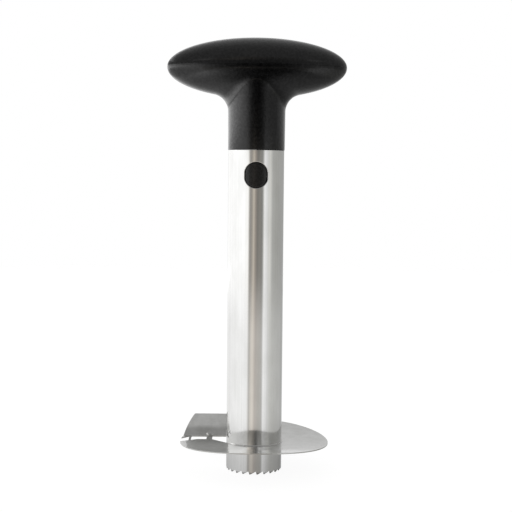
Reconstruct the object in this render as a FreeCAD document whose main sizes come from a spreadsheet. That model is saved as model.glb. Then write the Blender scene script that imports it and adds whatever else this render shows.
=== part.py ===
import FreeCAD, Part
import math
import os
import Sketcher
from FreeCAD import Placement, Rotation, Vector

# A twist-in pineapple corer. The origin is on the tube's axis, in the plane of the tooth tips, with +Z up
# and the front of the tool towards -Y.

doc = FreeCAD.newDocument("pineapple_corer")
sheet = doc.addObject("Spreadsheet::Sheet", "Sizes")

# Driving dimensions, in millimetres, degrees and counts
SIZES = {
    # core tube
    "tube_dia": 32.0,
    "tube_wall": 0.8,
    "tube_length": 183.6,
    "tooth_count": 24,
    "tooth_depth": 1.8,
    "tooth_tip": 0.35,
    "tooth_rake": 0.6,
    "tooth_turn": 7.0,
    "tooth_grind": 0.3,
    "tooth_grind_height": 1.2,
    "window_width": 12.7,
    "window_height": 14.6,
    "window_drop": 14.2,
    "window_round": 0.35,
    # slicing blade
    "blade_dia": 85.6,
    "blade_sheet": 0.6,
    "blade_height": 15.55,
    "blade_bow_radius": 298.0,
    "blade_bow_shift": 2.4,
    "fold_offset": 9.9,
    "fold_radius": 1.5,
    "flap_angle": 55.0,
    "flap_length": 13.1,
    "flap_corner": 1.2,
    "flap_arc_place": 10.1,
    "flap_lip": 4.6,
    "dimple_width": 4.2,
    "dimple_length": 3.6,
    "dimple_shift": 0.8,
    "dimple_rise": 0.6,
    "slot_front": 2.1,
    "slot_front_span": 8.5,
    "slot_lap": 0.4,
    "slot_rim_lead": 5.6,
    "slot_hub_lead": 12.1,
    "hub_bridge_place": 26.1,
    "hub_bridge_width": 3.3,
    "rim_bridge_place": 37.4,
    "rim_bridge_width": 1.3,
    "slit_offset": 16.4,
    "slit_width": 0.8,
    "hub_relief": 9.0,
    "grind_width": 1.8,
    "grind_depth": 0.45,
    "weld_leg": 0.5,
    "weld_gap_back": 14.0,
    "weld_gap_front": 22.0,
    # handle
    "handle_length": 102.0,
    "handle_margin": 2.0,
    "handle_crown": 16.6,
    "handle_belly": 17.3,
    "seam_rise": 46.8,
    "neck_lip": 0.15,
    "neck_flare": 0.6,
    "neck_blend": 10.0,
    "neck_round": 0.4,
    "shell_wall": 2.5,
    "seam_gap": 0.08,
    "lip_root": 4.5,
    "lip_height": 1.8,
    "lip_wall": 1.3,
    "fit_gap": 0.1,
    "boss_dia": 8.0,
    "well_dia": 23.0,
    "neck_web": 4.0,
    # coupling plug and its button tongues
    "plug_length": 46.0,
    "plug_wall": 2.3,
    "plug_shoulder": 2.1,
    "spigot_length": 20.0,
    "spigot_wall": 3.0,
    "plug_web": 3.8,
    "plug_bevel": 0.8,
    "tongue_width": 16.0,
    "tongue_length": 33.0,
    "tongue_wall": 2.0,
    "tongue_root": 8.0,
    "tongue_slot": 0.8,
    "pad_width": 11.4,
    "pad_height": 13.2,
    "pad_proud": 0.1,
    "pad_taper": 0.4,
    "pad_round": 0.4,
    # screws
    "screw_spacing": 12.0,
    "screw_dia": 3.0,
    "screw_length": 16.0,
    "screw_head_dia": 5.8,
    "screw_head_height": 2.2,
    "screw_point": 1.5,
}

for row, (alias, number) in enumerate(SIZES.items(), start=1):
    sheet.set(f"A{row}", alias)
    sheet.set(f"B{row}", str(number))
    sheet.setAlias(f"B{row}", alias)
doc.recompute()


def formula(text):
    """Put the sheet's name before each alias in a formula."""
    words, word = [], ""
    for letter in text + " ":
        if letter.isalnum() or letter == "_":
            word += letter
            continue
        words.append("Sizes." + word if word in SIZES else word)
        words.append(letter)
        word = ""
    return "".join(words).strip()


def value(text):
    """The number that a formula on the sheet's aliases gives."""
    return float(sheet.evalExpression(formula(str(text))))


def bind(thing, **properties):
    """Bind properties of a feature to formulas; double underscores stand for dots."""
    for name, text in properties.items():
        thing.setExpression(name.replace("__", "."), formula(str(text)))


def new_body(label):
    body = doc.addObject("PartDesign::Body", label)
    body.Label = label
    return body


def origin_feature(body, role):
    return next(o for o in body.Origin.OriginFeatures if o.Role == role)


def attach(body, feature, plane, shift=(0, 0, 0), axis=Vector(0, 0, 1), turn=0):
    """Attach a feature to one of its body's origin planes, shifted and turned within that plane's frame."""
    feature.AttachmentSupport = [(origin_feature(body, plane), "")]
    feature.MapMode = "FlatFace"
    feature.AttachmentOffset = Placement(Vector(), Rotation(axis, 1.0))
    for letter, text in zip("xyz", shift):
        feature.setExpression(f"AttachmentOffset.Base.{letter}", formula(str(text)))
    feature.setExpression("AttachmentOffset.Rotation.Angle", formula(str(turn)))
    return feature


def new_sketch(body, name, plane, shift=(0, 0, 0), axis=Vector(0, 0, 1), turn=0):
    return attach(body, body.newObject("Sketcher::SketchObject", name), plane, shift, axis, turn)


def hold(sketch, kind, text, *geometry):
    """Add a constraint whose value is a formula."""
    number = sketch.addConstraint(Sketcher.Constraint(kind, *geometry, value(text)))
    sketch.setExpression(f"Constraints[{number}]", formula(str(text)))


def pin_point(sketch, geometry, end, x, y):
    """Hold a point of a sketch at two coordinates given by formulas."""
    for kind, text in (("DistanceX", x), ("DistanceY", y)):
        hold(sketch, kind, text, -1, 1, geometry, end)


def draw_circle(sketch, dia, x=0, y=0):
    middle = Vector(value(x), value(y), 0)
    ring = sketch.addGeometry(Part.Circle(middle, Vector(0, 0, 1), value(dia) / 2), False)
    pin_point(sketch, ring, 3, x, y)
    hold(sketch, "Diameter", dia, ring)


def draw_outline(sketch, start, *steps):
    """Draw a closed outline. A step is (x, y) for a line, or (x, y, radius, side) for an arc to that point,
    whose side is 1 where the arc turns left and -1 where it turns right."""
    if steps[-1][:2] != start:
        steps = steps + (start,)
    points = [start] + [step[:2] for step in steps]
    places = [Vector(value(x), value(y), 0) for x, y in points]
    places[-1] = places[0]
    last = len(steps) - 1
    edges = []
    for number, step in enumerate(steps):
        begin, end = places[number], places[number + 1]
        if len(step) == 2:
            edges.append((sketch.addGeometry(Part.LineSegment(begin, end), False), 1, 2))
            continue
        radius, side = value(step[2]), step[3]
        chord = end - begin
        across = Vector(-chord.y, chord.x, 0).normalize()
        middle = begin + chord * 0.5 + across * side * math.sqrt(radius**2 - chord.Length**2 / 4)
        spokes = [begin - middle, end - middle]
        if side < 0:
            spokes.reverse()
        angles = [math.atan2(spoke.y, spoke.x) for spoke in spokes]
        if angles[1] < angles[0]:
            angles[1] += 2 * math.pi
        arc = Part.ArcOfCircle(Part.Circle(middle, Vector(0, 0, 1), radius), *angles)
        place = sketch.addGeometry(arc, False)
        edges.append((place, 1, 2) if side > 0 else (place, 2, 1))
        hold(sketch, "Radius", step[2], place)
    for number, (edge, first, second) in enumerate(edges):
        pin_point(sketch, edge, first, *points[number])
        follower = edges[0] if number == last else edges[number + 1]
        sketch.addConstraint(Sketcher.Constraint("Coincident", edge, second, follower[0], follower[1]))


def draw_slot(sketch, width, height, y):
    """Draw an upright slot with round ends, centred on x = 0."""
    ends = []
    for side, begin in ((1, 0), (-1, math.pi)):
        level = f"({y}) + {side} * (({height}) - ({width})) / 2"
        ring = Part.Circle(Vector(0, value(level), 0), Vector(0, 0, 1), value(width) / 2)
        arc = sketch.addGeometry(Part.ArcOfCircle(ring, begin, begin + math.pi), False)
        pin_point(sketch, arc, 3, "0", level)
        hold(sketch, "Radius", f"({width}) / 2", arc)
        for end in (1, 2):
            hold(sketch, "DistanceY", level, -1, 1, arc, end)
        ends.append(arc)
    for first, second in (ends, ends[::-1]):
        leave, reach = (sketch.getPoint(arc, end) for arc, end in ((first, 2), (second, 1)))
        line = sketch.addGeometry(Part.LineSegment(leave, reach), False)
        sketch.addConstraint(Sketcher.Constraint("Coincident", line, 1, first, 2))
        sketch.addConstraint(Sketcher.Constraint("Coincident", line, 2, second, 1))


def draw_oval(sketch, long_half, short_half):
    """Draw an ellipse centred on the origin with its long axis along x."""
    size = value(long_half), value(short_half)
    oval = sketch.addGeometry(Part.Ellipse(Vector(0, 0, 0), *size), False)
    sketch.exposeInternalGeometry(oval)
    sketch.addConstraint(Sketcher.Constraint("Coincident", oval, 3, -1, 1))
    sketch.addConstraint(Sketcher.Constraint("Horizontal", oval + 1))
    hold(sketch, "Distance", f"2 * ({long_half})", oval + 1)
    hold(sketch, "Distance", f"2 * ({short_half})", oval + 2)


def feature(body, kind, name, profile, **settings):
    """Add a feature that uses a sketch, and recompute it."""
    made = body.newObject("PartDesign::" + kind, name)
    made.Profile = profile
    for key, setting in settings.items():
        if key in ("Length", "Angle"):
            bind(made, **{key: setting})
        else:
            setattr(made, key, setting)
    profile.Visibility = False
    doc.recompute()
    return made


def edges_where(shape, test):
    """The names of the edges all of whose sampled points pass a test."""
    names = []
    for number, edge in enumerate(shape.Edges, start=1):
        if edge.Degenerated:
            continue
        if all(test(point) for point in edge.discretize(7)):
            names.append(f"Edge{number}")
    return names


def near(one, other, within=0.01):
    return abs(one - other) < within


def radius_of(point):
    return math.hypot(point.x, point.y)


def make_core_tube():
    body = new_body("core_tube")
    ring = new_sketch(body, "tube_ring", "XY_Plane")
    draw_circle(ring, "tube_dia")
    draw_circle(ring, "tube_dia - 2 * tube_wall")
    feature(body, "Pad", "tube_wall_pad", ring, Length="tube_length")

    grind = new_sketch(body, "tooth_grind_profile", "XZ_Plane")
    draw_outline(
        grind,
        ("tube_dia / 2 - tooth_grind", "0"),
        ("tube_dia / 2 + 1", "0"),
        ("tube_dia / 2 + 1", "tooth_grind_height"),
        ("tube_dia / 2", "tooth_grind_height"),
    )
    axis = (grind, ["V_Axis"])
    feature(body, "Groove", "tooth_grind_cut", grind, Angle="360", ReferenceAxis=axis)

    # Each gullet rises gently behind one tip and drops steeply to the next, so the tips lean to the left
    pitch = "(pi * tube_dia / tooth_count)"
    gullet = new_sketch(
        body, "gullet_profile", "XZ_Plane", axis=Vector(0, 1, 0), turn="tooth_turn + 180 / tooth_count"
    )
    draw_outline(
        gullet,
        (f"tooth_tip / 2 - {pitch} / 2", "-1"),
        (f"{pitch} / 2 - tooth_tip / 2", "-1"),
        (f"{pitch} / 2 - tooth_tip / 2", "0"),
        (f"{pitch} / 2 - tooth_tip / 2 - tooth_rake", "tooth_depth"),
        (f"tooth_tip / 2 - {pitch} / 2", "0"),
    )
    cut = feature(body, "Pocket", "gullet", gullet, Length="tube_dia", Reversed=True)
    teeth = body.newObject("PartDesign::PolarPattern", "teeth")
    teeth.Originals = [cut]
    teeth.Axis = (origin_feature(body, "Z_Axis"), [""])
    teeth.Angle = 360
    bind(teeth, Occurrences="tooth_count")
    body.Tip = teeth
    doc.recompute()

    window = new_sketch(body, "window_outline", "XZ_Plane")
    draw_slot(window, "window_width", "window_height", "tube_length - window_drop")
    cut = feature(body, "Pocket", "windows", window, Length="tube_dia * 2", SideType="Symmetric")

    outer, middle, reach = value("tube_dia / 2"), value("tube_length - window_drop"), value("window_height")
    rounded = body.newObject("PartDesign::Fillet", "window_edges")
    rim = edges_where(cut.Shape, lambda p: near(radius_of(p), outer) and abs(p.z - middle) < reach)
    rounded.Base = (cut, rim)
    bind(rounded, Radius="window_round")
    doc.recompute()
    return body


def sheet_level(y, side):
    """The formula for the height of the bowed sheet's upper (1) or lower (-1) face at a distance y."""
    radius = f"(blade_bow_radius - {side} * blade_sheet / 2)"
    return f"(blade_height + blade_bow_radius - sqrt({radius}^2 - ({y} - blade_bow_shift)^2))"


def make_slicing_blade():
    body = new_body("slicing_blade")
    reach = "(blade_dia / 2 + 2)"
    bow = new_sketch(body, "bowed_sheet", "YZ_Plane")
    draw_outline(
        bow,
        (f"-{reach}", sheet_level("-" + reach, -1)),
        (reach, sheet_level(reach, -1), "blade_bow_radius + blade_sheet / 2", 1),
        (reach, sheet_level(reach, 1)),
        (f"-{reach}", sheet_level("-" + reach, 1), "blade_bow_radius - blade_sheet / 2", -1),
        (f"-{reach}", sheet_level(reach, -1)),
    )
    feature(body, "Pad", "sheet", bow, Length=f"2 * {reach}", SideType="Symmetric")

    rim = new_sketch(body, "rim_outline", "XY_Plane")
    draw_circle(rim, "blade_dia")
    draw_circle(rim, "3 * blade_dia")
    feature(body, "Pocket", "rim", rim, Length="6 * blade_height", SideType="Symmetric")

    hub = new_sketch(body, "hub_outline", "XY_Plane")
    draw_circle(hub, "tube_dia + fit_gap")
    feature(body, "Pocket", "hub_hole", hub, Length="6 * blade_height", SideType="Symmetric")

    # The slots in front of the fold leave two bridges; the slit beside the tube and the chord behind the
    # flap free the rest of it
    bent = "((fold_radius + blade_sheet / 2) * flap_angle * pi / 180)"
    chord = f"(fold_offset + {bent} + flap_length + slit_width)"
    outside = "-(blade_dia / 2 + 3)"
    inside = "-(tube_dia / 2 - 4)"
    slit = "-(slit_offset - slit_width)"
    hub_side = "-(hub_bridge_place - hub_bridge_width / 2)"
    far_side = "-(hub_bridge_place + hub_bridge_width / 2)"
    near_rim = "-(rim_bridge_place - rim_bridge_width / 2)"
    past_rim = "-(rim_bridge_place + rim_bridge_width / 2)"
    turn = "-(hub_bridge_place - hub_bridge_width / 2 + slot_front_span)"
    rim_rate = f"(slot_rim_lead / (blade_dia / 2 + ({turn})))"
    lip_rate = f"(flap_lip / (blade_dia / 2 + ({past_rim})))"
    freed = new_sketch(body, "flap_cut", "XY_Plane")
    draw_outline(
        freed,
        (slit, chord),
        (outside, chord),
        (outside, "fold_offset"),
        ("-slit_offset", "fold_offset"),
        (hub_side, "fold_offset"),
        (hub_side, "slot_front"),
        (inside, "slot_front - slot_hub_lead"),
        (inside, "hub_relief"),
        (slit, "hub_relief"),
    )
    draw_outline(
        freed,
        (near_rim, "fold_offset - slot_lap"),
        (near_rim, f"slot_front + {rim_rate} * ({near_rim} - ({turn}))"),
        (turn, "slot_front"),
        (far_side, "slot_front"),
        (far_side, "fold_offset - slot_lap"),
    )
    draw_outline(
        freed,
        (past_rim, "fold_offset - slot_lap"),
        (outside, f"fold_offset - slot_lap + {lip_rate} * ({outside} - ({past_rim}))"),
        (outside, f"slot_front + {rim_rate} * ({outside} - ({turn}))"),
        (past_rim, f"slot_front + {rim_rate} * ({past_rim} - ({turn}))"),
    )
    cut = feature(body, "Pocket", "flap_window", freed, Length="6 * blade_height", SideType="Symmetric")

    # The two edges that meet the fruit are ground on their upper side
    edge_x, edge_y, relief = value(slit), value(chord), value("hub_relief")
    bow_y, bow_radius = value("blade_bow_shift"), value("blade_bow_radius")

    def is_ground(p):
        on_top = p.z > value("blade_height") + (p.y - bow_y) ** 2 / (2 * bow_radius)
        along_slit = near(p.x, edge_x) and p.y > relief - 0.01
        return on_top and (along_slit or near(p.y, edge_y) and p.x < edge_x + 0.01)

    ground = body.newObject("PartDesign::Chamfer", "ground_edges")
    ground.Base = (cut, edges_where(cut.Shape, is_ground))
    ground.ChamferType = "Two distances"
    bind(ground, Size="grind_depth", Size2="grind_width")
    doc.recompute()

    # The flap starts at the fold line, bends up and runs on straight
    under, over = sheet_level("fold_offset", -1), sheet_level("fold_offset", 1)
    lean = "(flap_angle * 1deg)"
    bend = "(fold_radius + blade_sheet)"
    profile = new_sketch(body, "flap_profile", "YZ_Plane", shift=("0", "0", "-slit_offset"))
    draw_outline(
        profile,
        ("fold_offset", under),
        (f"fold_offset + {bend} * sin({lean})", f"{over} + fold_radius - {bend} * cos({lean})", bend, 1),
        (
            f"fold_offset + {bend} * sin({lean}) + flap_length * cos({lean})",
            f"{over} + fold_radius - {bend} * cos({lean}) + flap_length * sin({lean})",
        ),
        (
            f"fold_offset + fold_radius * sin({lean}) + flap_length * cos({lean})",
            f"{over} + fold_radius - fold_radius * cos({lean}) + flap_length * sin({lean})",
        ),
        (
            f"fold_offset + fold_radius * sin({lean})",
            f"{over} + fold_radius - fold_radius * cos({lean})",
        ),
        ("fold_offset", over, "fold_radius", -1),
    )
    feature(body, "Pad", "flap", profile, Length="blade_dia / 2 - slit_offset", Reversed=True)

    # In its own leaning plane the flap's outer edge is still the arc of the rim
    tangent = f"((fold_radius + blade_sheet / 2) * tan({lean} / 2))"
    root = f"(fold_offset + {tangent})"
    radius, corner = "(blade_dia / 2)", "flap_corner"
    tip = f"(flap_arc_place + {tangent} + flap_length)"
    corner_x = f"sqrt(({radius} - {corner})^2 - ({tip} - {corner})^2)"
    leaning = new_sketch(
        body,
        "flap_outline",
        "XY_Plane",
        shift=("0", root, f"({under} + {over}) / 2"),
        axis=Vector(1, 0, 0),
        turn="flap_angle",
    )
    share = f"({radius} / ({radius} - {corner}))"
    start = "(fold_radius + blade_sheet / 2)"
    draw_outline(
        leaning,
        (f"-sqrt({radius}^2 - (flap_arc_place - {start})^2)", f"-{start}"),
        (f"-{corner_x} * {share}", f"({tip} - {corner}) * {share} - flap_arc_place", radius, -1),
        (f"-{corner_x}", f"{tip} - flap_arc_place", corner, -1),
        (f"-{corner_x}", f"{tip} - flap_arc_place + 2"),
        (f"-{radius} - 3", f"{tip} - flap_arc_place + 2"),
        (f"-{radius} - 3", f"-{start}"),
    )
    feature(body, "Pocket", "flap_trim", leaning, Length="8 * blade_sheet", SideType="Symmetric")

    # A small dimple is pressed into the flap above the wide bridge, just past the fold
    for name, kind, sink in (("dimple", "Additive", "0"), ("dimple_back", "Subtractive", "blade_sheet")):
        place = (
            "-hub_bridge_place",
            f"{root} + dimple_shift * cos({lean}) + {sink} * sin({lean})",
            f"({under} + {over}) / 2 + dimple_shift * sin({lean}) - {sink} * cos({lean})",
        )
        bump = body.newObject(f"PartDesign::{kind}Ellipsoid", name)
        attach(body, bump, "XY_Plane", place, Vector(1, 0, 0), "flap_angle")
        rise = "dimple_rise + blade_sheet / 2"
        bind(bump, Radius1=rise, Radius2="dimple_width / 2", Radius3="dimple_length / 2")
        doc.recompute()
    return body


def make_blade_weld():
    body = new_body("blade_weld")
    level = "blade_height + blade_bow_radius"
    reach = "(tube_dia / 2 + weld_leg + 2)"
    low, high = "(blade_bow_radius - blade_sheet / 2)", "(blade_bow_radius - blade_sheet / 2 - weld_leg)"
    back, front = f"({reach} - blade_bow_shift)", f"({reach} + blade_bow_shift)"
    strip = new_sketch(body, "bead_strip", "YZ_Plane")
    draw_outline(
        strip,
        (f"-{reach}", f"{level} - sqrt({low}^2 - {front}^2)"),
        (reach, f"{level} - sqrt({low}^2 - {back}^2)", low, 1),
        (reach, f"{level} - sqrt({high}^2 - {back}^2)"),
        (f"-{reach}", f"{level} - sqrt({high}^2 - {front}^2)", high, -1),
    )
    feature(body, "Pad", "bead_blank", strip, Length=f"2 * {reach}", SideType="Symmetric")
    ring = new_sketch(body, "bead_ring", "XY_Plane")
    draw_circle(ring, "tube_dia + 2 * weld_leg")
    draw_circle(ring, "4 * tube_dia")
    feature(body, "Pocket", "bead_outer", ring, Length="6 * blade_height", SideType="Symmetric")
    bore = new_sketch(body, "bead_bore", "XY_Plane")
    draw_circle(bore, "tube_dia")
    feature(body, "Pocket", "bead_inner", bore, Length="6 * blade_height", SideType="Symmetric")
    gap = new_sketch(body, "bead_gap", "XY_Plane")
    draw_outline(
        gap,
        ("0", "0"),
        ("-tube_dia", "tube_dia * tan(weld_gap_back * 1deg)"),
        ("-tube_dia", "-tube_dia * tan(weld_gap_front * 1deg)"),
    )
    cut = feature(body, "Pocket", "bead_ends", gap, Length="6 * blade_height", SideType="Symmetric")
    outer, middle = value("tube_dia / 2 + weld_leg"), value("blade_height + blade_sheet / 2 + weld_leg / 2")
    rim = edges_where(cut.Shape, lambda p: near(radius_of(p), outer, 0.02) and p.z > middle)
    slope = body.newObject("PartDesign::Chamfer", "bead_slope")
    slope.Base = (cut, rim)
    bind(slope, Size="weld_leg * 0.7")
    doc.recompute()
    return body


def ellipsoid(body, name, kind, inset, height, z):
    """An ellipsoid of the handle's plan, made smaller all round by an inset."""
    made = body.newObject(f"PartDesign::{kind}Ellipsoid", name)
    attach(body, made, "XY_Plane", ("0", "0", z))
    bind(
        made,
        Radius1=f"{height} - ({inset})",
        Radius2=f"handle_length / 2 - ({inset})",
        Radius3=f"{HALF_DEPTH} - ({inset})",
    )
    doc.recompute()
    return made


def bore_hole(body, name, dia, z, depth, places=("0",), up=True):
    """Cut round holes centred on y = 0 from a height, upwards or downwards."""
    ring = new_sketch(body, name + "_outline", "XY_Plane", shift=("0", "0", z))
    for x in places:
        draw_circle(ring, dia, x)
    return feature(body, "Pocket", name, ring, Length=depth, Reversed=up)


PLUG = "(tube_dia - 2 * (tube_wall + fit_gap))"
SPIGOT = f"({PLUG} - 2 * plug_shoulder)"
NECK = "(tube_dia / 2 + neck_lip)"
HALF_DEPTH = "(tube_dia / 2 + handle_margin)"
SEAM = "(tube_length + seam_rise)"
WEB_TOP = "(tube_length + spigot_length + neck_web)"
SCREWS = ("screw_spacing / 2", "-screw_spacing / 2")


def make_handle_lower_shell():
    body = new_body("handle_lower_shell")
    ellipsoid(body, "belly", "Additive", "0", "handle_belly", SEAM)
    ring = new_sketch(body, "seam_outline", "XY_Plane", shift=("0", "0", SEAM))
    draw_circle(ring, "2 * handle_length")
    feature(body, "Pocket", "seam_cut", ring, Length="handle_length", Reversed=True)
    neck = body.newObject("PartDesign::AdditiveCone", "neck")
    attach(body, neck, "XY_Plane", ("0", "0", "tube_length"))
    bind(neck, Radius1=NECK, Radius2=f"{NECK} + neck_flare / 2", Height="seam_rise - shell_wall * 2")
    doc.recompute()
    low, high = value("tube_length + 12"), value(SEAM) - 1
    wide = value(f"{NECK} + neck_flare")
    joint = edges_where(neck.Shape, lambda p: low < p.z < high and radius_of(p) < wide + 1)
    blend = body.newObject("PartDesign::Fillet", "neck_blend")
    blend.Base = (neck, joint)
    bind(blend, Radius="neck_blend")
    doc.recompute()
    foot = value("tube_length")
    rim = edges_where(blend.Shape, lambda p: near(p.z, foot))
    rounded = body.newObject("PartDesign::Fillet", "neck_round")
    rounded.Base = (blend, rim)
    bind(rounded, Radius="neck_round")
    doc.recompute()
    ellipsoid(body, "hollow", "Subtractive", "shell_wall", "handle_belly", SEAM)
    bore_hole(body, "well", "well_dia", WEB_TOP, "seam_rise / 2")
    bore_hole(body, "socket", f"{SPIGOT} + 2 * fit_gap", "tube_length", "spigot_length")
    bore_hole(body, "screw_holes", "screw_dia + 4 * fit_gap", "tube_length", "handle_length / 2", SCREWS)
    return body


def make_handle_upper_shell():
    body = new_body("handle_upper_shell")
    ellipsoid(body, "crown", "Additive", "0", "handle_crown", SEAM)
    lower = new_sketch(body, "seam_outline", "XY_Plane", shift=("0", "0", f"{SEAM} + seam_gap"))
    draw_circle(lower, "2 * handle_length")
    feature(body, "Pocket", "seam_cut", lower, Length="handle_length")
    ellipsoid(body, "hollow", "Subtractive", "shell_wall", "handle_crown", SEAM)

    # A thin lip drops inside the lower shell, and two bosses reach down to its web
    inset = "(shell_wall + fit_gap * 5)"
    for name, kind, extra in (("lip", "Pad", "0"), ("lip_inside", "Pocket", "lip_wall")):
        oval = new_sketch(body, name + "_outline", "XY_Plane", shift=("0", "0", f"{SEAM} + lip_root"))
        draw_oval(
            oval,
            f"handle_length / 2 - {inset} - {extra}",
            f"{HALF_DEPTH} - {inset} - {extra}",
        )
        depth = "lip_root + lip_height" if kind == "Pad" else "2 * (lip_root + lip_height)"
        feature(body, kind, name, oval, Length=depth, Reversed=kind == "Pad")
    posts = new_sketch(body, "boss_outline", "XY_Plane", shift=("0", "0", WEB_TOP))
    for x in SCREWS:
        draw_circle(posts, "boss_dia", x)
    feature(body, "Pad", "bosses", posts, Length=f"{SEAM} - {WEB_TOP} + handle_crown - shell_wall / 2")
    bore_hole(body, "pilot_holes", "screw_dia + fit_gap / 5", WEB_TOP, "screw_length", SCREWS)
    return body


def make_coupling_plug():
    body = new_body("coupling_plug")
    barrel = new_sketch(body, "barrel_outline", "XY_Plane", shift=("0", "0", "tube_length"))
    draw_circle(barrel, PLUG)
    feature(body, "Pad", "barrel", barrel, Length="plug_length", Reversed=True)
    spigot = new_sketch(body, "spigot_outline", "XY_Plane", shift=("0", "0", "tube_length"))
    draw_circle(spigot, SPIGOT)
    feature(body, "Pad", "spigot", spigot, Length="spigot_length - fit_gap")
    bore_hole(body, "barrel_bore", f"{PLUG} - 2 * plug_wall", "tube_length - plug_length", "plug_length")
    bore_hole(
        body,
        "spigot_bore",
        f"{SPIGOT} - 2 * spigot_wall",
        "tube_length - 1",
        "spigot_length - plug_web + 1",
    )
    bore_hole(body, "screw_holes", "screw_dia + 4 * fit_gap", "tube_length", "spigot_length * 2", SCREWS)
    gate = new_sketch(body, "tongue_opening", "XZ_Plane")
    half = "(tongue_width / 2 + tongue_slot)"
    top = "tube_length - plug_length + tongue_root + tongue_length + tongue_slot"
    draw_outline(
        gate,
        (f"-{half}", "tube_length - plug_length + tongue_root"),
        (half, "tube_length - plug_length + tongue_root"),
        (half, top),
        (f"-{half}", top),
    )
    cut = feature(body, "Pocket", "tongue_openings", gate, Length="tube_dia * 2", SideType="Symmetric")
    foot = value("tube_length - plug_length")
    rim = edges_where(cut.Shape, lambda p: near(p.z, foot) and near(radius_of(p), value(f"{PLUG} / 2")))
    nose = body.newObject("PartDesign::Chamfer", "plug_nose")
    nose.Base = (cut, rim)
    bind(nose, Size="plug_bevel")
    doc.recompute()
    return body


def make_button_tongue(label, turn):
    body = new_body(label)
    foot = "(tube_length - plug_length + tongue_root)"
    wall = new_sketch(body, "tongue_arc", "XY_Plane", shift=("0", "0", foot))
    draw_circle(wall, PLUG)
    draw_circle(wall, f"{PLUG} - 2 * tongue_wall")
    feature(body, "Pad", "tongue_wall_pad", wall, Length="tongue_length")
    keep = new_sketch(body, "tongue_sides", "XY_Plane")
    half = "(tongue_width / 2)"
    draw_outline(
        keep,
        (f"-{half}", "-tube_dia"),
        (half, "-tube_dia"),
        (half, "0"),
        (f"-{half}", "0"),
    )
    draw_outline(
        keep,
        ("-tube_dia", "-tube_dia * 1.2"),
        ("tube_dia", "-tube_dia * 1.2"),
        ("tube_dia", "tube_dia"),
        ("-tube_dia", "tube_dia"),
    )
    feature(body, "Pocket", "tongue_strip", keep, Length="tube_length * 2", SideType="Symmetric")

    # The pad tapers through the tube's window and is trimmed to the curve of the tube
    middle = "tube_length - window_drop"
    near_face = new_sketch(body, "pad_foot", "XZ_Plane", shift=("0", "0", f"{PLUG} / 2 - tongue_wall / 2"))
    draw_slot(near_face, "pad_width + pad_taper", "pad_height + pad_taper", middle)
    far_face = new_sketch(body, "pad_face", "XZ_Plane", shift=("0", "0", "tube_dia / 2 + 1"))
    draw_slot(far_face, "pad_width", "pad_height", middle)
    loft = body.newObject("PartDesign::AdditiveLoft", "pad")
    loft.Profile = near_face
    loft.Sections = [far_face]
    doc.recompute()
    skin = new_sketch(body, "pad_skin", "XY_Plane")
    draw_circle(skin, "tube_dia + 2 * pad_proud")
    draw_circle(skin, "tube_dia * 2")
    cut = feature(body, "Pocket", "pad_trim", skin, Length="tube_length * 2", Reversed=True)
    outer = value("tube_dia / 2 + pad_proud")
    round_edge = body.newObject("PartDesign::Fillet", "pad_round")
    round_edge.Base = (cut, edges_where(cut.Shape, lambda p: near(radius_of(p), outer)))
    bind(round_edge, Radius="pad_round")
    doc.recompute()
    body.Placement = Placement(Vector(), Rotation(Vector(0, 0, 1), turn))
    return body


def make_handle_screws():
    body = new_body("handle_screws")
    body.AllowCompound = True
    seat = "(tube_length + spigot_length - plug_web)"
    half = new_sketch(body, "screw_profile", "XZ_Plane")
    middle = "screw_spacing / 2"
    draw_outline(
        half,
        (middle, f"{seat} - screw_head_height"),
        (f"{middle} + screw_head_dia * 0.4", f"{seat} - screw_head_height"),
        (f"{middle} + screw_head_dia / 2", f"{seat} - screw_head_height / 2", "screw_head_dia * 0.25", 1),
        (f"{middle} + screw_head_dia / 2", seat),
        (f"{middle} + screw_dia / 2", seat),
        (f"{middle} + screw_dia / 2", f"{seat} + screw_length - screw_point"),
        (middle, f"{seat} + screw_length"),
    )
    foot, top = value(seat), value(f"{seat} + screw_length")
    ends = Vector(value(middle), foot, 0), Vector(value(middle), top, 0)
    line = half.addGeometry(Part.LineSegment(*ends), True)
    pin_point(half, line, 1, middle, seat)
    pin_point(half, line, 2, middle, f"{seat} + screw_length")
    spun = feature(body, "Revolution", "screw", half, ReferenceAxis=(half, ["Axis0"]), Angle="360")
    head = f"{seat} - screw_head_height"
    recess = new_sketch(body, "recess_outline", "XY_Plane", shift=(middle, "0", head))
    arm, thick = "(screw_head_dia * 0.27)", "(screw_head_dia * 0.07)"
    draw_outline(
        recess,
        (arm, f"-{thick}"),
        (arm, thick),
        (thick, thick),
        (thick, arm),
        (f"-{thick}", arm),
        (f"-{thick}", thick),
        (f"-{arm}", thick),
        (f"-{arm}", f"-{thick}"),
        (f"-{thick}", f"-{thick}"),
        (f"-{thick}", f"-{arm}"),
        (thick, f"-{arm}"),
        (thick, f"-{thick}"),
    )
    cross = feature(body, "Pocket", "recess", recess, Length="screw_head_height * 0.6", Reversed=True)
    pair = body.newObject("PartDesign::PolarPattern", "screw_pair")
    pair.Originals = [spun, cross]
    pair.Axis = (origin_feature(body, "Z_Axis"), [""])
    pair.Angle = 360
    pair.Occurrences = 2
    body.Tip = pair
    doc.recompute()
    return body


MAKERS = {
    "core_tube": make_core_tube,
    "slicing_blade": make_slicing_blade,
    "blade_weld": make_blade_weld,
    "handle_lower_shell": make_handle_lower_shell,
    "handle_upper_shell": make_handle_upper_shell,
    "coupling_plug": make_coupling_plug,
    "front_button_tongue": lambda: make_button_tongue("front_button_tongue", 0),
    "rear_button_tongue": lambda: make_button_tongue("rear_button_tongue", 180),
    "handle_screws": make_handle_screws,
}

bodies = [maker() for maker in MAKERS.values()]
doc.recompute()

for thing in doc.Objects:
    if {"Invalid", "Error"} & set(thing.State):
        raise RuntimeError(f"{thing.Label} did not compute: {thing.State}")

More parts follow.
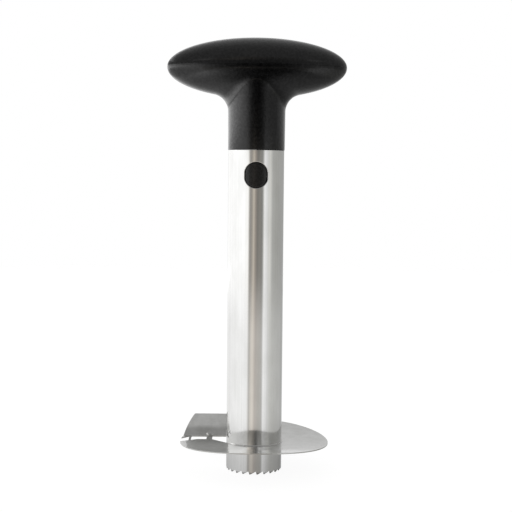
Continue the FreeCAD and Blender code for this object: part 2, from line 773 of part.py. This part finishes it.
os.makedirs("parts", exist_ok=True)
for body in bodies:
    if body.Shape.isNull() or not body.Shape.isValid():
        raise RuntimeError(f"{body.Label} has no valid shape")
    body.Shape.exportStep(f"parts/{body.Label}.step")
    print(f"{body.Label}: {len(body.Shape.Solids)} solid, {body.Shape.Volume:.1f} mm3")
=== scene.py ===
import math

import bmesh
import bpy
from mathutils import Matrix, Vector

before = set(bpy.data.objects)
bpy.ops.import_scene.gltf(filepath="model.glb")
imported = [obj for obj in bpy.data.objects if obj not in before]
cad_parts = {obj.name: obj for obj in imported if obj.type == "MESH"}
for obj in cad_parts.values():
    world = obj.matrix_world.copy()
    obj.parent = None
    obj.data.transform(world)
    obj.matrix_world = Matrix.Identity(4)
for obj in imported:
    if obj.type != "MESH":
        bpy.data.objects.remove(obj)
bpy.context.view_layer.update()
print("frame loaded:", sorted(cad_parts))

mm = 0.001


class Field:
    # one output of a node, with arithmetic that adds Math nodes
    def __init__(self, tree, socket):
        self.tree, self.socket = tree, socket

    def math(self, operation, *others):
        values = dict(enumerate((self,) + others))
        return addNode(self.tree, "ShaderNodeMath", {"operation": operation}, values)

    def __add__(self, other):
        return self.math("ADD", other)

    def __mul__(self, other):
        return self.math("MULTIPLY", other)

    def __sub__(self, other):
        return self.math("SUBTRACT", other)

    def __truediv__(self, other):
        return self.math("DIVIDE", other)

    def __rsub__(self, other):
        return addNode(self.tree, "ShaderNodeMath", {"operation": "SUBTRACT"}, {0: other, 1: self})

    def __rtruediv__(self, other):
        return addNode(self.tree, "ShaderNodeMath", {"operation": "DIVIDE"}, {0: other, 1: self})

    def __neg__(self):
        return self * -1

    __radd__ = __add__
    __rmul__ = __mul__


def addNode(tree, kind, settings=None, inputs=None, out=0):
    made = tree.nodes.new(kind)
    for key, value in (settings or {}).items():
        if key != "stops":
            setattr(made, key, value)
            continue
        ends = made.color_ramp.elements
        ends[0].position, ends[1].position = value[0][0], value[-1][0]
        for position, _ in value[1:-1]:
            ends.new(position)
        for stop, (_, colour) in zip(ends, value):
            stop.color = (*colour, 1)
    for key, value in (inputs or {}).items():
        if isinstance(value, Field):
            tree.links.new(value.socket, made.inputs[key])
        else:
            made.inputs[key].default_value = value
    return Field(tree, made.outputs[out]) if made.outputs else made


def newMaterial(name, **constants):
    material = bpy.data.materials.new(name)
    material.use_nodes = True
    tree = material.node_tree
    shader = next(n for n in tree.nodes if n.type == "BSDF_PRINCIPLED")
    for key, value in constants.items():
        shader.inputs[key.replace("_", " ")].default_value = value
    return material, tree, shader


def feed(tree, shader, **fields):
    for key, field in fields.items():
        tree.links.new(field.socket, shader.inputs[key.replace("_", " ")])


def objectSpot(tree):
    return addNode(tree, "ShaderNodeTexCoord", out="Object")


def axesOf(tree, vector):
    outputs = addNode(tree, "ShaderNodeSeparateXYZ", inputs={0: vector}).socket.node.outputs
    return [Field(tree, outputs[axis]) for axis in "XYZ"]


def noise(tree, scale, stretch=(1, 1, 1), detail=3, roughness=0.5):
    # the scale is per metre of the object's own coordinates, and stretch multiplies it on each axis
    spot = addNode(tree, "ShaderNodeMapping", inputs={"Vector": objectSpot(tree), "Scale": stretch})
    sizes = {"Vector": spot, "Scale": scale, "Detail": detail, "Roughness": roughness}
    return addNode(tree, "ShaderNodeTexNoise", inputs=sizes)


def ramp(tree, factor, stops):
    return addNode(tree, "ShaderNodeValToRGB", {"stops": stops}, {"Fac": factor})


def blendColours(tree, factor, first, second):
    sides = {0: factor, 6: first, 7: second}
    return addNode(tree, "ShaderNodeMix", {"data_type": "RGBA"}, sides, out=2)


def smoothRange(tree, value, low, high, first=0.0, last=1.0):
    limits = {"Value": value, "From Min": low, "From Max": high, "To Min": first, "To Max": last}
    return addNode(tree, "ShaderNodeMapRange", {"interpolation_type": "SMOOTHSTEP"}, limits)


def grey(level):
    return (level, level, level)


def opaque(colour):
    return (*colour, 1)


def bump(tree, height, distance, strength=1.0):
    settings = {"Height": height, "Distance": distance, "Strength": strength}
    return addNode(tree, "ShaderNodeBump", inputs=settings)


def finishTube():
    # drawn and polished along its length; the base colour turns dark near the bottom edge, over the teeth's
    # tips
    look = {
        "base": (0.665, 0.665, 0.66),
        "dull": (0.57, 0.57, 0.56),
        "rough": 0.05,
        "lines": {"scale": 2600, "stretch": (1, 1, 0.012), "detail": 4, "roughness": 0.6},
        "strokes": {"scale": 1000, "stretch": (1, 1, 0.008), "detail": 5, "roughness": 0.65},
        "clouds": {"scale": 160, "stretch": (1, 1, 0.4), "detail": 4},
        "strokeRange": (0.3, 0.7),
        "cloudRange": (0.35, 0.65),
        "markShare": 0.35,
        "lineRough": 0.05,
        "cloudRough": 0.04,
        "lineDepth": 0.0015 * mm,
    }
    teeth = {
        "ground": (0.2, 0.195, 0.19),
        "edge": (0.3 * mm, 1.5 * mm),
        "edgeWaver": 0.8 * mm,
        "rough": 0.3,
    }
    material, tree, shader = newMaterial("polishedTubeSteel", Metallic=1.0)
    lines, strokes, clouds = (noise(tree, **look[key]) for key in ("lines", "strokes", "clouds"))
    stroked = smoothRange(tree, strokes, *look["strokeRange"])
    marks = (stroked + smoothRange(tree, clouds, *look["cloudRange"])) * look["markShare"]
    polished = blendColours(tree, marks, opaque(look["base"]), opaque(look["dull"]))
    # darker towards the bottom: below about 1.5 mm, with a wavering edge, the base colour goes dark
    height = axesOf(tree, objectSpot(tree))[2] + (clouds - 0.5) * teeth["edgeWaver"]
    tip = 1 - smoothRange(tree, height, *teeth["edge"])
    uneven = lines * look["lineRough"] + clouds * look["cloudRough"]
    feed(
        tree,
        shader,
        Base_Color=blendColours(tree, tip, polished, opaque(teeth["ground"])),
        Roughness=uneven + look["rough"] + tip * teeth["rough"],
        Normal=bump(tree, lines, look["lineDepth"]),
    )
    return material


def finishBlade():
    # rolled sheet under a clear gloss: faint lines, soft blotches and a few handling scuffs
    look = {
        "base": (0.46, 0.46, 0.45),
        "dull": (0.36, 0.36, 0.345),
        "rough": 0.25,
        "gloss": 1.0,
        "glossRough": 0.04,
        "lines": {"scale": 3500, "stretch": (0.03, 1, 1), "detail": 4, "roughness": 0.6},
        "blotches": {"scale": 130, "detail": 6, "roughness": 0.65},
        "scuffs": {"scale": 700, "stretch": (1, 0.15, 0.15), "detail": 3, "roughness": 0.7},
        "lineShare": 0.25,
        "wornRange": (0.32, 0.7),
        "lineRough": 0.05,
        "blotchRough": 0.05,
        "scuffRough": 0.03,
        "scuffHeight": 0.4,
        "depth": 0.012 * mm,
    }
    # painted highlight: from its foot up, the folded flap above the disc gets a paler base colour, broken
    # up by the worn blotches
    flap = {"bright": (0.8, 0.8, 0.785), "foot": (19 * mm, 22 * mm), "share": 0.8, "wornShare": 0.4}
    material, tree, shader = newMaterial(
        "satinBladeSteel",
        Metallic=1.0,
        Coat_Weight=look["gloss"],
        Coat_Roughness=look["glossRough"],
    )
    lines, blotches, scuffs = (noise(tree, **look[key]) for key in ("lines", "blotches", "scuffs"))
    mixed = blotches * (1 - look["lineShare"]) + lines * look["lineShare"]
    worn = smoothRange(tree, mixed, *look["wornRange"])
    flat = blendColours(tree, worn, opaque(look["base"]), opaque(look["dull"]))
    height = axesOf(tree, objectSpot(tree))[2]
    # painted highlight on the flap, rising from its foot
    madePaler = smoothRange(tree, height, *flap["foot"]) * (1 - worn * flap["wornShare"]) * flap["share"]
    uneven = lines * look["lineRough"] + blotches * look["blotchRough"] + scuffs * look["scuffRough"]
    relief = blotches * (1 - look["scuffHeight"]) + scuffs * look["scuffHeight"]
    feed(
        tree,
        shader,
        Base_Color=blendColours(tree, madePaler, flat, opaque(flap["bright"])),
        Roughness=uneven + look["rough"],
        Normal=bump(tree, relief, look["depth"]),
    )
    return material


def finishWeld():
    look = {
        "ripple": {"scale": 900, "stretch": (1, 1, 0.3)},
        "tints": [(0.3, (0.4, 0.39, 0.38)), (0.55, (0.5, 0.5, 0.49)), (0.8, (0.44, 0.43, 0.42))],
        "rough": 0.18,
        "rippleRough": 0.15,
        "depth": 0.03 * mm,
    }
    material, tree, shader = newMaterial("weldBead", Metallic=1.0)
    ripple = noise(tree, **look["ripple"])
    feed(
        tree,
        shader,
        Base_Color=ramp(tree, ripple, look["tints"]),
        Roughness=ripple * look["rippleRough"] + look["rough"],
        Normal=bump(tree, ripple, look["depth"]),
    )
    return material


def finishPlastic(name, colour, worn, rough, grainScale):
    # moulded with a fine grain: the pits are darker and shine less than the peaks; paler where hands rub it
    look = {
        "indexOfRefraction": 1.3,
        "coatRough": 0.1,
        "clouds": {"scale": 45, "detail": 4},
        "grain": {"detail": 3, "roughness": 0.55},
        "peakRange": (0.36, 0.66),
        "pitShade": 0.3,
        "cloudRough": 0.06,
        "grainRough": 0.12,
        "coat": 0.21,
        "peakCoat": 0.13,
        "grainDepth": 0.1 * mm,
        "grainStrength": 0.9,
    }
    constants = {"IOR": look["indexOfRefraction"], "Coat_Roughness": look["coatRough"]}
    material, tree, shader = newMaterial(name, **constants)
    grain = noise(tree, grainScale, **look["grain"])
    clouds = noise(tree, **look["clouds"])
    madePaler = blendColours(tree, clouds, opaque(colour), opaque(worn))
    pits = opaque(part * look["pitShade"] for part in colour)
    peaks = smoothRange(tree, grain, *look["peakRange"])
    feed(
        tree,
        shader,
        Base_Color=blendColours(tree, peaks, pits, madePaler),
        Roughness=clouds * look["cloudRough"] + grain * look["grainRough"] + rough,
        Coat_Weight=peaks * look["peakCoat"] + look["coat"],
        Normal=bump(tree, grain, look["grainDepth"], look["grainStrength"]),
    )
    return material


def finishScrews():
    look = {
        "swirl": {"scale": 1200},
        "tints": [(0.3, (0.5, 0.5, 0.51)), (0.8, (0.62, 0.62, 0.6))],
        "rough": 0.2,
        "swirlRough": 0.2,
    }
    material, tree, shader = newMaterial("platedScrewSteel", Metallic=1.0)
    swirl = noise(tree, **look["swirl"])
    uneven = swirl * look["swirlRough"] + look["rough"]
    feed(tree, shader, Base_Color=ramp(tree, swirl, look["tints"]), Roughness=uneven)
    return material


plastics = {
    "handlePlastic": {
        "colour": (0.0022, 0.0022, 0.0024),
        "worn": (0.004, 0.004, 0.0042),
        "rough": 0.1,
        "grainScale": 700,
    },
    "plugPlastic": {"colour": grey(0.0015), "worn": grey(0.003), "rough": 0.45, "grainScale": 1300},
    "buttonPlastic": {"colour": grey(0.005), "worn": grey(0.008), "rough": 0.2, "grainScale": 1100},
}
handlePlastic, plugPlastic, buttonPlastic = (finishPlastic(name, **plastics[name]) for name in plastics)
finishes = {
    "core_tube": finishTube(),
    "slicing_blade": finishBlade(),
    "blade_weld": finishWeld(),
    "handle_lower_shell": handlePlastic,
    "handle_upper_shell": handlePlastic,
    "coupling_plug": plugPlastic,
    "front_button_tongue": buttonPlastic,
    "rear_button_tongue": buttonPlastic,
    "handle_screws": finishScrews(),
}

for name, material in finishes.items():
    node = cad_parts[name]
    node.data.materials.clear()
    node.data.materials.append(material)
print("finishes set")


def seenBy(tree):
    # rays from the camera, rays that metal or glass sends on, and how far they have come
    paths = addNode(tree, "ShaderNodeLightPath").socket.node.outputs
    kinds = ("Is Camera Ray", "Is Glossy Ray", "Is Transmission Ray", "Ray Length")
    camera, glossy, through, length = (Field(tree, paths[kind]) for kind in kinds)
    return camera, glossy.math("MAXIMUM", through), length


def bandsAround(tree, axes, turns, top, spread=1.0):
    # levels of light by direction round the upright axis, in degrees from the camera side
    x, y, _ = axes
    angle = x.math("ARCTAN2", -y) / (2 * math.pi) * spread + 0.5
    stops = []
    for turn, level, *tint in turns:
        red, green, blue = tint or (1, 1, 1)
        share = level / top
        stops.append(((turn + 180) / 360, (share * red, share * green, share * blue)))
    return ramp(tree, angle, stops)


def brightest(*bands):
    return max(band[1] for band in sum(bands, []))


def addStudioPiece(name, shape, materialName):
    # an object of the studio, and the empty shader tree of its material
    mesh = bpy.data.meshes.new(name)
    shape.to_mesh(mesh)
    shape.free()
    piece = bpy.data.objects.new(name, mesh)
    bpy.context.collection.objects.link(piece)
    material = bpy.data.materials.new(materialName)
    material.use_nodes = True
    material.node_tree.nodes.clear()
    mesh.materials.append(material)
    return piece, material.node_tree


def makeFloor():
    # a pale sheet, white to the camera, fading out far from the object
    size = {
        "radius": 1.6,
        "sides": 160,
        "drop": 0.05 * mm,
        "halfTube": 8 * mm,
        "reach": 17 * mm,
        "handleFoot": (0.192, 0.205),
    }
    look = {
        "white": 0.92,
        "shade": 0.16,
        "bounce": 0.6,
        "fade": (0.4, 1.4),
        "fadeAbove": (1.2, 1.55),
        "nearShade": (0.01, 0.17, 0.58),
        "underHandle": (0.12, 0.55),
    }
    # painted reflections: the studio's bands of light as they would lie on a glossy sheet, given as a glow
    # that only metal rays see, which is what the steel shows
    sheen = [
        (-180, 1.0),
        (-150, 1.12),
        (-110, 1.26),
        (-60, 1.35),
        (-37, 1.3),
        (-31, 1.15, 1, 0.99, 0.97),
        (-25, 0.72, 1, 0.97, 0.93),
        (-20, 0.76, 1, 0.96, 0.9),
        (-13, 1.02, 1, 0.94, 0.86),
        (-6, 0.94, 1, 0.93, 0.85),
        (0, 0.72, 1, 0.93, 0.87),
        (12, 0.7, 1, 0.96, 0.9),
        (27, 0.66, 1, 0.98, 0.94),
        (31, 0.95),
        (35, 1.27),
        (43, 1.18),
        (52, 1.0),
        (61, 0.84, 1, 1, 0.97),
        (75, 0.76, 1, 1, 0.97),
        (93, 0.68, 1, 1, 0.97),
        (122, 0.66, 1, 1, 0.98),
        (141, 0.56, 1, 1, 0.98),
        (165, 0.62),
        (180, 1.0),
    ]
    # the same sheet as the handle shows it: its underside the near part, its front and ends the far part
    sheenUnder = [
        (-180, 0.8),
        (-110, 1.1),
        (-60, 1.2),
        (-38, 1.0),
        (-22, 0.5),
        (-9, 0.14),
        (3, 0.06),
        (12, 0.15),
        (20, 0.5),
        (30, 0.6),
        (120, 0.6),
        (180, 0.8),
    ]
    sheenBeyond = [
        (-180, 0.8),
        (-110, 3.2),
        (-60, 3.8),
        (-38, 2.7),
        (-22, 0.9),
        (-9, 0.12),
        (3, 0.04),
        (16, 0.08),
        (30, 0.35),
        (60, 0.38),
        (120, 0.38),
        (180, 0.8),
    ]
    sheet = bmesh.new()
    bmesh.ops.create_circle(sheet, cap_ends=True, segments=size["sides"], radius=size["radius"])
    bmesh.ops.translate(sheet, verts=sheet.verts, vec=(0, 0, -size["drop"]))
    floor, tree = addStudioPiece("floor", sheet, "paleFloor")
    camera, metal, length = seenBy(tree)
    spot = objectSpot(tree)
    axes = axesOf(tree, spot)
    far = addNode(tree, "ShaderNodeVectorMath", {"operation": "LENGTH"}, {0: spot}, out=1)
    strength = camera * look["white"] + (1 - camera) * look["bounce"]
    glow = addNode(tree, "ShaderNodeEmission", inputs={"Color": opaque(grey(1)), "Strength": strength})
    matt = addNode(tree, "ShaderNodeBsdfDiffuse", inputs={"Color": opaque(grey(look["shade"]))})
    pale = addNode(tree, "ShaderNodeAddShader", inputs={0: glow, 1: matt})
    top = brightest(sheen, sheenUnder, sheenBeyond)
    # close to the tube the bands fan out, since it mirrors each one from its own side
    near = bandsAround(tree, axes, sheen, top, 1 / (1 - size["halfTube"] / far))
    under, beyond = (bandsAround(tree, axes, bands, top) for bands in (sheenUnder, sheenBeyond))
    above = blendColours(tree, smoothRange(tree, far, *look["underHandle"]), under, beyond)
    # the ray's length and the way along the floor give the height that it came from
    reach = far - size["reach"]
    height = (length * length - reach * reach).math("SQRT")
    high = smoothRange(tree, height, *size["handleFoot"])
    bands = blendColours(tree, high, near, above)
    # painted shade: close to the object the glow is dimmer, for the shade the object casts
    start, clear, dim = look["nearShade"]
    level = smoothRange(tree, far, start, clear, dim * top, top) * (1 - high) + high * top
    # painted reflection: no mirror, but an emission in the bands' colours
    polished = addNode(tree, "ShaderNodeEmission", inputs={"Color": bands, "Strength": level})
    sheetShader = addNode(tree, "ShaderNodeMixShader", inputs={0: metal, 1: pale, 2: polished})
    nothing = addNode(tree, "ShaderNodeBsdfTransparent")
    fadeLow, fadeHigh = (smoothRange(tree, far, *look[key]) for key in ("fade", "fadeAbove"))
    fade = fadeLow * (1 - high) + fadeHigh * high
    faded = addNode(tree, "ShaderNodeMixShader", inputs={0: fade, 1: sheetShader, 2: nothing})
    addNode(tree, "ShaderNodeOutputMaterial", inputs={"Surface": faded})


def makeWorld():
    # the room level with the object: a wide window on the left, a dark camera side with a warm streak,
    # a strip light on the right, and the white backdrop behind
    levelTurns = [
        (-180, 1.0),
        (-150, 1.42),
        (-70, 1.57),
        (-50, 1.55),
        (-33, 1.43, 1, 0.99, 0.97),
        (-29.5, 1.1, 1, 0.97, 0.93),
        (-26, 0.5, 1, 0.96, 0.9),
        (-20, 0.41, 1, 0.95, 0.88),
        (-15, 0.5, 1, 0.92, 0.81),
        (-8, 0.8, 1, 0.91, 0.79),
        (-4, 0.56, 1, 0.9, 0.78),
        (0, 0.43, 1, 0.89, 0.79),
        (8, 0.28, 1, 0.97, 0.9),
        (16, 0.36, 1, 0.95, 0.87),
        (25, 0.31, 1, 0.98, 0.92),
        (29, 0.44, 1, 1, 0.95),
        (33, 0.85, 1, 0.99, 0.97),
        (36.5, 1.26),
        (46, 1.07),
        (54, 0.95, 1, 1, 0.97),
        (60, 0.97, 1, 0.99, 0.95),
        (66, 0.8, 1, 1, 0.95),
        (70, 0.65, 1, 1, 0.97),
        (76, 0.58, 1, 1, 0.96),
        (90, 0.53, 1, 1, 0.95),
        (140, 0.51, 1, 1, 0.98),
        (160, 0.42, 1, 1, 0.98),
        (172, 0.5, 1, 1, 0.99),
        (180, 1.0),
    ]
    # the same room above eye level, with fewer and broader bands
    upperTurns = [
        (-180, 0.75),
        (-155, 1.2),
        (-104, 1.4),
        (-57, 1.4),
        (-44, 1.55),
        (-34, 1.5),
        (-27, 1.5, 1, 0.95, 0.88),
        (-19, 1.2, 1, 0.93, 0.84),
        (-10, 0.6, 1, 0.93, 0.85),
        (-2, 0.36, 1, 0.94, 0.87),
        (6, 0.2),
        (14, 0.22),
        (22, 1.1),
        (28, 0.95),
        (35, 0.6),
        (54, 0.36),
        (82, 0.42),
        (99, 0.6),
        (130, 0.7),
        (160, 0.75),
        (180, 0.75),
    ]
    overhead = {
        "front": 0.52,
        "back": 0.6,
        "frontToBack": (-0.3, 0.3),
        "eyeLevel": (0.042, 0.068),
        "windowTop": (0.082, 0.102),
        "windowShare": 0.15,
        "frontSector": (0.8, 0.93),
        "backSector": (0.6, 0.9),
        "sideTop": (0.3, 0.45),
        "lift": 0.2,
        "liftFrom": (0.4, 0.9),
        "backdrop": (0.9, 0.97),
        "backdropTop": (0.02, 0.1),
    }
    world = bpy.data.worlds.new("studio")
    bpy.context.scene.world = world
    world.use_nodes = True
    tree = world.node_tree
    tree.nodes.clear()
    axes = axesOf(tree, addNode(tree, "ShaderNodeTexCoord", out="Generated"))
    _, y, z = axes
    top = brightest(levelTurns, upperTurns)
    around, upper = (bandsAround(tree, axes, turns, top) for turns in (levelTurns, upperTurns))
    rear = smoothRange(tree, y, *overhead["frontToBack"])
    front, back = (opaque(grey(overhead[key] / top)) for key in ("front", "back"))
    ceiling = blendColours(tree, rear, front, back)
    # the upper bands end again at the sides, and only towards the camera and the backdrop do they go on up
    inFront = smoothRange(tree, -y, *overhead["frontSector"])
    behind = smoothRange(tree, y, *overhead["backSector"])
    windowTop = smoothRange(tree, z, *overhead["windowTop"]) * (1 - inFront) * (1 - behind)
    eyeLevel = smoothRange(tree, z, *overhead["eyeLevel"])
    light = blendColours(tree, eyeLevel * (1 - windowTop), around, upper)
    light = blendColours(tree, windowTop * overhead["windowShare"], light, ceiling)
    # the ceiling starts higher up in front and behind than at the sides
    lift = (smoothRange(tree, -y, *overhead["liftFrom"]) + rear) * overhead["lift"]
    light = blendColours(tree, smoothRange(tree, z - lift, *overhead["sideTop"]), light, ceiling)
    studio = addNode(tree, "ShaderNodeBackground", inputs={"Color": light, "Strength": top})
    white = addNode(tree, "ShaderNodeBackground", inputs={"Color": opaque(grey(1)), "Strength": 1.0})
    belowTop = 1 - smoothRange(tree, z, *overhead["backdropTop"])
    backdrop = smoothRange(tree, y, *overhead["backdrop"]) * belowTop
    camera, metal, _ = seenBy(tree)
    shown = addNode(tree, "ShaderNodeMixShader", inputs={0: camera + metal * backdrop, 1: studio, 2: white})
    addNode(tree, "ShaderNodeOutputWorld", inputs={"Surface": shown})


def makeScreen():
    # a ring of soft light round the handle, above what the tube shows: bright on the left, dark towards
    # the camera, and plain grey in its upper part
    size = {"radius": 0.3, "bottom": 0.194, "top": 0.36, "sides": 96}
    look = {"footFade": (0.194, 0.207), "greyFrom": (0.274, 0.293)}
    lowTurns = [
        (-180, 0.8),
        (-150, 1.6),
        (-128, 2.3),
        (-105, 3.0),
        (-87, 3.1),
        (-72, 2.75),
        (-58, 2.15),
        (-45, 1.7),
        (-31, 0.75),
        (-19, 0.2),
        (-7, 0.06),
        (4, 0.03),
        (16, 0.07),
        (28, 0.33),
        (41, 0.6),
        (54, 0.52),
        (82, 0.48),
        (99, 0.6),
        (130, 0.7),
        (180, 0.8),
    ]
    highTurns = [
        (-180, 0.6),
        (-60, 0.5),
        (-30, 0.4),
        (-10, 0.22),
        (10, 0.2),
        (30, 0.4),
        (60, 0.5),
        (180, 0.6),
    ]
    ring = bmesh.new()
    bmesh.ops.create_cone(
        ring,
        cap_ends=False,
        segments=size["sides"],
        radius1=size["radius"],
        radius2=size["radius"],
        depth=size["top"] - size["bottom"],
    )
    bmesh.ops.translate(ring, verts=ring.verts, vec=(0, 0, (size["top"] + size["bottom"]) / 2))
    screen, tree = addStudioPiece("lightRing", ring, "softScreen")
    screen.visible_camera = screen.visible_diffuse = screen.visible_shadow = False
    axes = axesOf(tree, objectSpot(tree))
    z = axes[2]
    top = brightest(lowTurns, highTurns)
    low, high = (bandsAround(tree, axes, turns, top) for turns in (lowTurns, highTurns))
    bands = blendColours(tree, smoothRange(tree, z, *look["greyFrom"]), low, high)
    glow = addNode(tree, "ShaderNodeEmission", inputs={"Color": bands, "Strength": top})
    nothing = addNode(tree, "ShaderNodeBsdfTransparent")
    foot = smoothRange(tree, z, *look["footFade"])
    faded = addNode(tree, "ShaderNodeMixShader", inputs={0: foot, 1: nothing, 2: glow})
    addNode(tree, "ShaderNodeOutputMaterial", inputs={"Surface": faded})


def makeCamera():
    view = {
        "place": (0.3, -590, 163.49),
        "pitch": 3.9,
        "roll": 0.5,
        "focalPixels": 1030,
        "imagePixels": 512,
        "sensorWidth": 36,
        "nearest": 10 * mm,
    }
    data = bpy.data.cameras.new("photoCamera")
    data.sensor_width = view["sensorWidth"]
    data.lens = view["focalPixels"] / view["imagePixels"] * view["sensorWidth"]
    data.clip_start = view["nearest"]
    camera = bpy.data.objects.new("photoCamera", data)
    bpy.context.collection.objects.link(camera)
    turn = Matrix.Rotation(math.radians(90 - view["pitch"]), 4, "X")
    roll = Matrix.Rotation(math.radians(view["roll"]), 4, "Z")
    camera.matrix_world = Matrix.Translation(Vector(view["place"]) * mm) @ turn @ roll
    bpy.context.scene.camera = camera


makeFloor()
makeWorld()
makeScreen()
makeCamera()
bpy.context.scene.view_settings.view_transform = "Standard"
print("studio ready")
